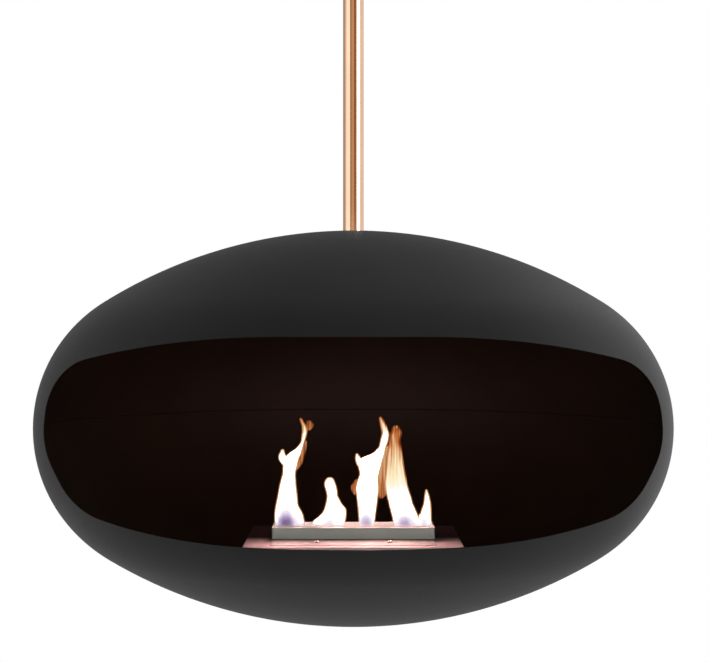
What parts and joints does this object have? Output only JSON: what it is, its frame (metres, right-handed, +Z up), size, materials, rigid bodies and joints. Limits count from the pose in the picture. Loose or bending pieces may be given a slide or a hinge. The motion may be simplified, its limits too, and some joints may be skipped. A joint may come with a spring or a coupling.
{
  "type": "hanging fireplace",
  "caption": "Oval spun-steel fireplace body with a wide front mouth, hung on a straight ceiling pole, with a swivel in its crown and a lift-out fuel burner with a sliding shutter.",
  "frame": {"origin": "centre of the ceiling plate's upper face, on the axis of the pole", "axes": "+Z up along the pole, -Y out of the mouth, +X to the right seen from the front"},
  "size_m": [0.94, 0.8984, 1.48],
  "materials": {
    "satin_black": "satin black stove paint, fine texture",
    "copper_plate": "polished copper plating on steel",
    "zinc_steel": "zinc plated",
    "ground_steel": "ground bright",
    "bronze": "machined bronze",
    "stainless_sheet": "brushed stainless sheet",
    "ceramic_wool": "pressed ceramic fibre"
  },
  "bodies": {
    "ceiling_mount": {"ceiling_plate": "zinc_steel", "ceiling_socket": "zinc_steel", "cross_bolt": "ground_steel", "cross_nut": "ground_steel", "pole_tube": "copper_plate", "pole_spigot": "ground_steel", "lower_race": "ground_steel", "thrust_washer": "ground_steel", "castle_nut": "zinc_steel", "split_pin": "ground_steel"},
    "canopy": {"canopy_cover": "copper_plate", "canopy_clamp": "copper_plate", "clamp_screw": "ground_steel"},
    "bearing_cage": {"ball_cage": "bronze"},
    "fire_body": {"upper_shell": "satin_black", "lower_shell": "satin_black", "hub_plate": "zinc_steel", "hub_bush": "bronze", "upper_race": "ground_steel", "heat_cover": "satin_black", "cover_screw_1": "ground_steel", "cover_screw_2": "ground_steel", "cover_screw_3": "ground_steel", "tray_bracket_left": "satin_black", "tray_bracket_right": "satin_black"},
    "burner": {"burner_tray": "stainless_sheet", "slot_collar": "stainless_sheet", "collar_screw_1": "ground_steel", "collar_screw_2": "ground_steel", "collar_screw_3": "ground_steel", "collar_screw_4": "ground_steel", "shutter_rail_left": "stainless_sheet", "shutter_rail_right": "stainless_sheet", "fuel_tank": "stainless_sheet", "fuel_wool": "ceramic_wool"},
    "shutter": {"shutter_plate": "stainless_sheet"}
  },
  "joints": [
    {"name": "body_swivel", "type": "hinge", "parent": "ceiling_mount", "child": "fire_body", "pos_m": [0, 0, -0.9], "axis": [0, 0, 1], "continuous": true},
    {"name": "cage_roll", "type": "hinge", "parent": "ceiling_mount", "child": "bearing_cage", "pos_m": [0, 0, -0.9], "axis": [0, 0, 1], "continuous": true},
    {"name": "canopy_drop", "type": "slide", "parent": "ceiling_mount", "child": "canopy", "axis": [0, 0, -1], "range_m": [0, 0.8]},
    {"name": "burner_lift", "type": "slide", "parent": "fire_body", "child": "burner", "axis": [0, 0, 1], "range_m": [0, 0.13]},
    {"name": "shutter_slide", "type": "slide", "parent": "burner", "child": "shutter", "axis": [0, -1, 0], "range_m": [0, 0.0575]}
  ],
  "couplings": [
    {"joint": "cage_roll", "follows": "body_swivel", "ratio": 0.5}
  ]
}
